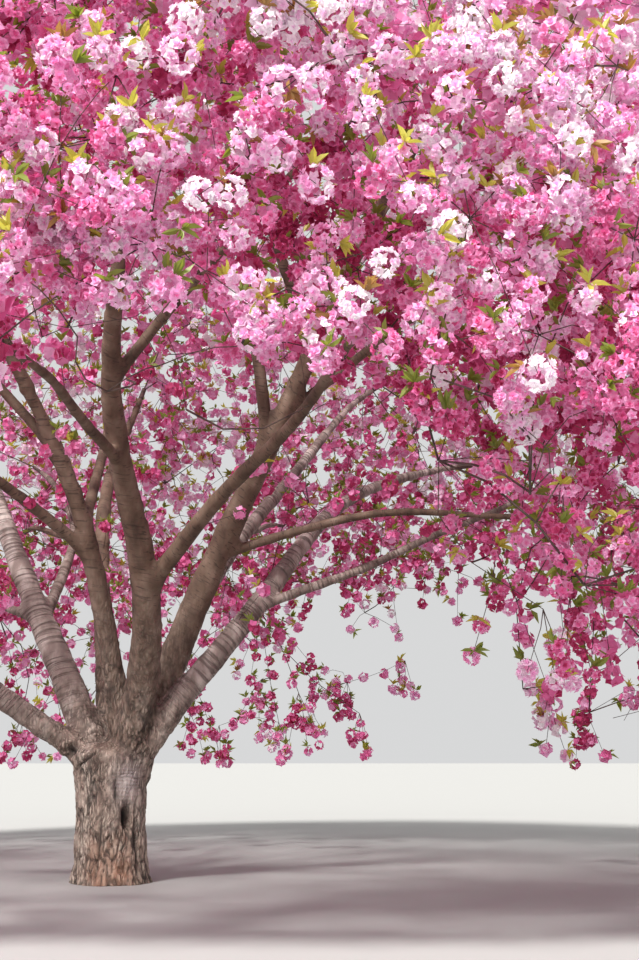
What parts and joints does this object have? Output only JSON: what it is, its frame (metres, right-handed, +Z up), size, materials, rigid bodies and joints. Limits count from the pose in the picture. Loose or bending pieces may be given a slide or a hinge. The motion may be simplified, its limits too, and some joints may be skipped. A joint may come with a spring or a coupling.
{
  "type": "flowering cherry tree",
  "caption": "Whole double pink flowering cherry in bloom: short stout flared trunk, low vase of boughs and wide open umbrella crown.",
  "frame": {"origin": "middle of the flat cut under the trunk, at ground level", "axes": "+Z up along the trunk; +X to the right and +Y away from the viewer of the picture"},
  "size_m": [10.1768, 10.1057, 7.9353],
  "materials": {
    "trunk_bark": "rough fissured bark",
    "bough_bark": "ringed satin bark",
    "limb_bark": "ringed satin bark",
    "blossom": "soft matte petals",
    "leaf": "satin young leaf"
  },
  "bodies": {
    "root": {"trunk": "trunk_bark", "bough_left_low": "bough_bark", "bough_left": "bough_bark", "bough_left_front": "bough_bark", "bough_front": "bough_bark", "bough_leader": "bough_bark", "bough_right": "bough_bark", "bough_back_right": "bough_bark", "bough_back": "bough_bark", "limb_left_back": "limb_bark", "limb_left_side": "limb_bark", "limb_front_left": "limb_bark", "limb_left_rise": "limb_bark", "limb_rear_rise": "limb_bark", "limb_crown_left": "limb_bark", "limb_front_right": "limb_bark", "limb_front_low": "limb_bark", "limb_front_rise": "limb_bark", "limb_right_long": "limb_bark", "limb_right_rise": "limb_bark", "limb_crown_back": "limb_bark", "limb_crown_top": "limb_bark", "limb_crown_front": "limb_bark", "limb_right_low": "limb_bark", "limb_back_right_low": "limb_bark", "limb_back_low": "limb_bark", "blossom_skirt_01": "blossom", "blossom_skirt_02": "blossom", "blossom_skirt_03": "blossom", "blossom_skirt_04": "blossom", "blossom_skirt_05": "blossom", "blossom_skirt_06": "blossom", "blossom_skirt_07": "blossom", "blossom_skirt_08": "blossom", "blossom_skirt_09": "blossom", "blossom_skirt_10": "blossom", "blossom_shoulder_11": "blossom", "blossom_shoulder_12": "blossom", "blossom_shoulder_13": "blossom", "blossom_shoulder_14": "blossom", "blossom_shoulder_15": "blossom", "blossom_shoulder_16": "blossom", "blossom_shoulder_17": "blossom", "blossom_shoulder_18": "blossom", "blossom_shoulder_19": "blossom", "blossom_crown_20": "blossom", "blossom_crown_21": "blossom", "blossom_crown_22": "blossom", "blossom_crown_23": "blossom", "blossom_crown_24": "blossom", "blossom_top_25": "blossom"}
  },
  "joints": []
}
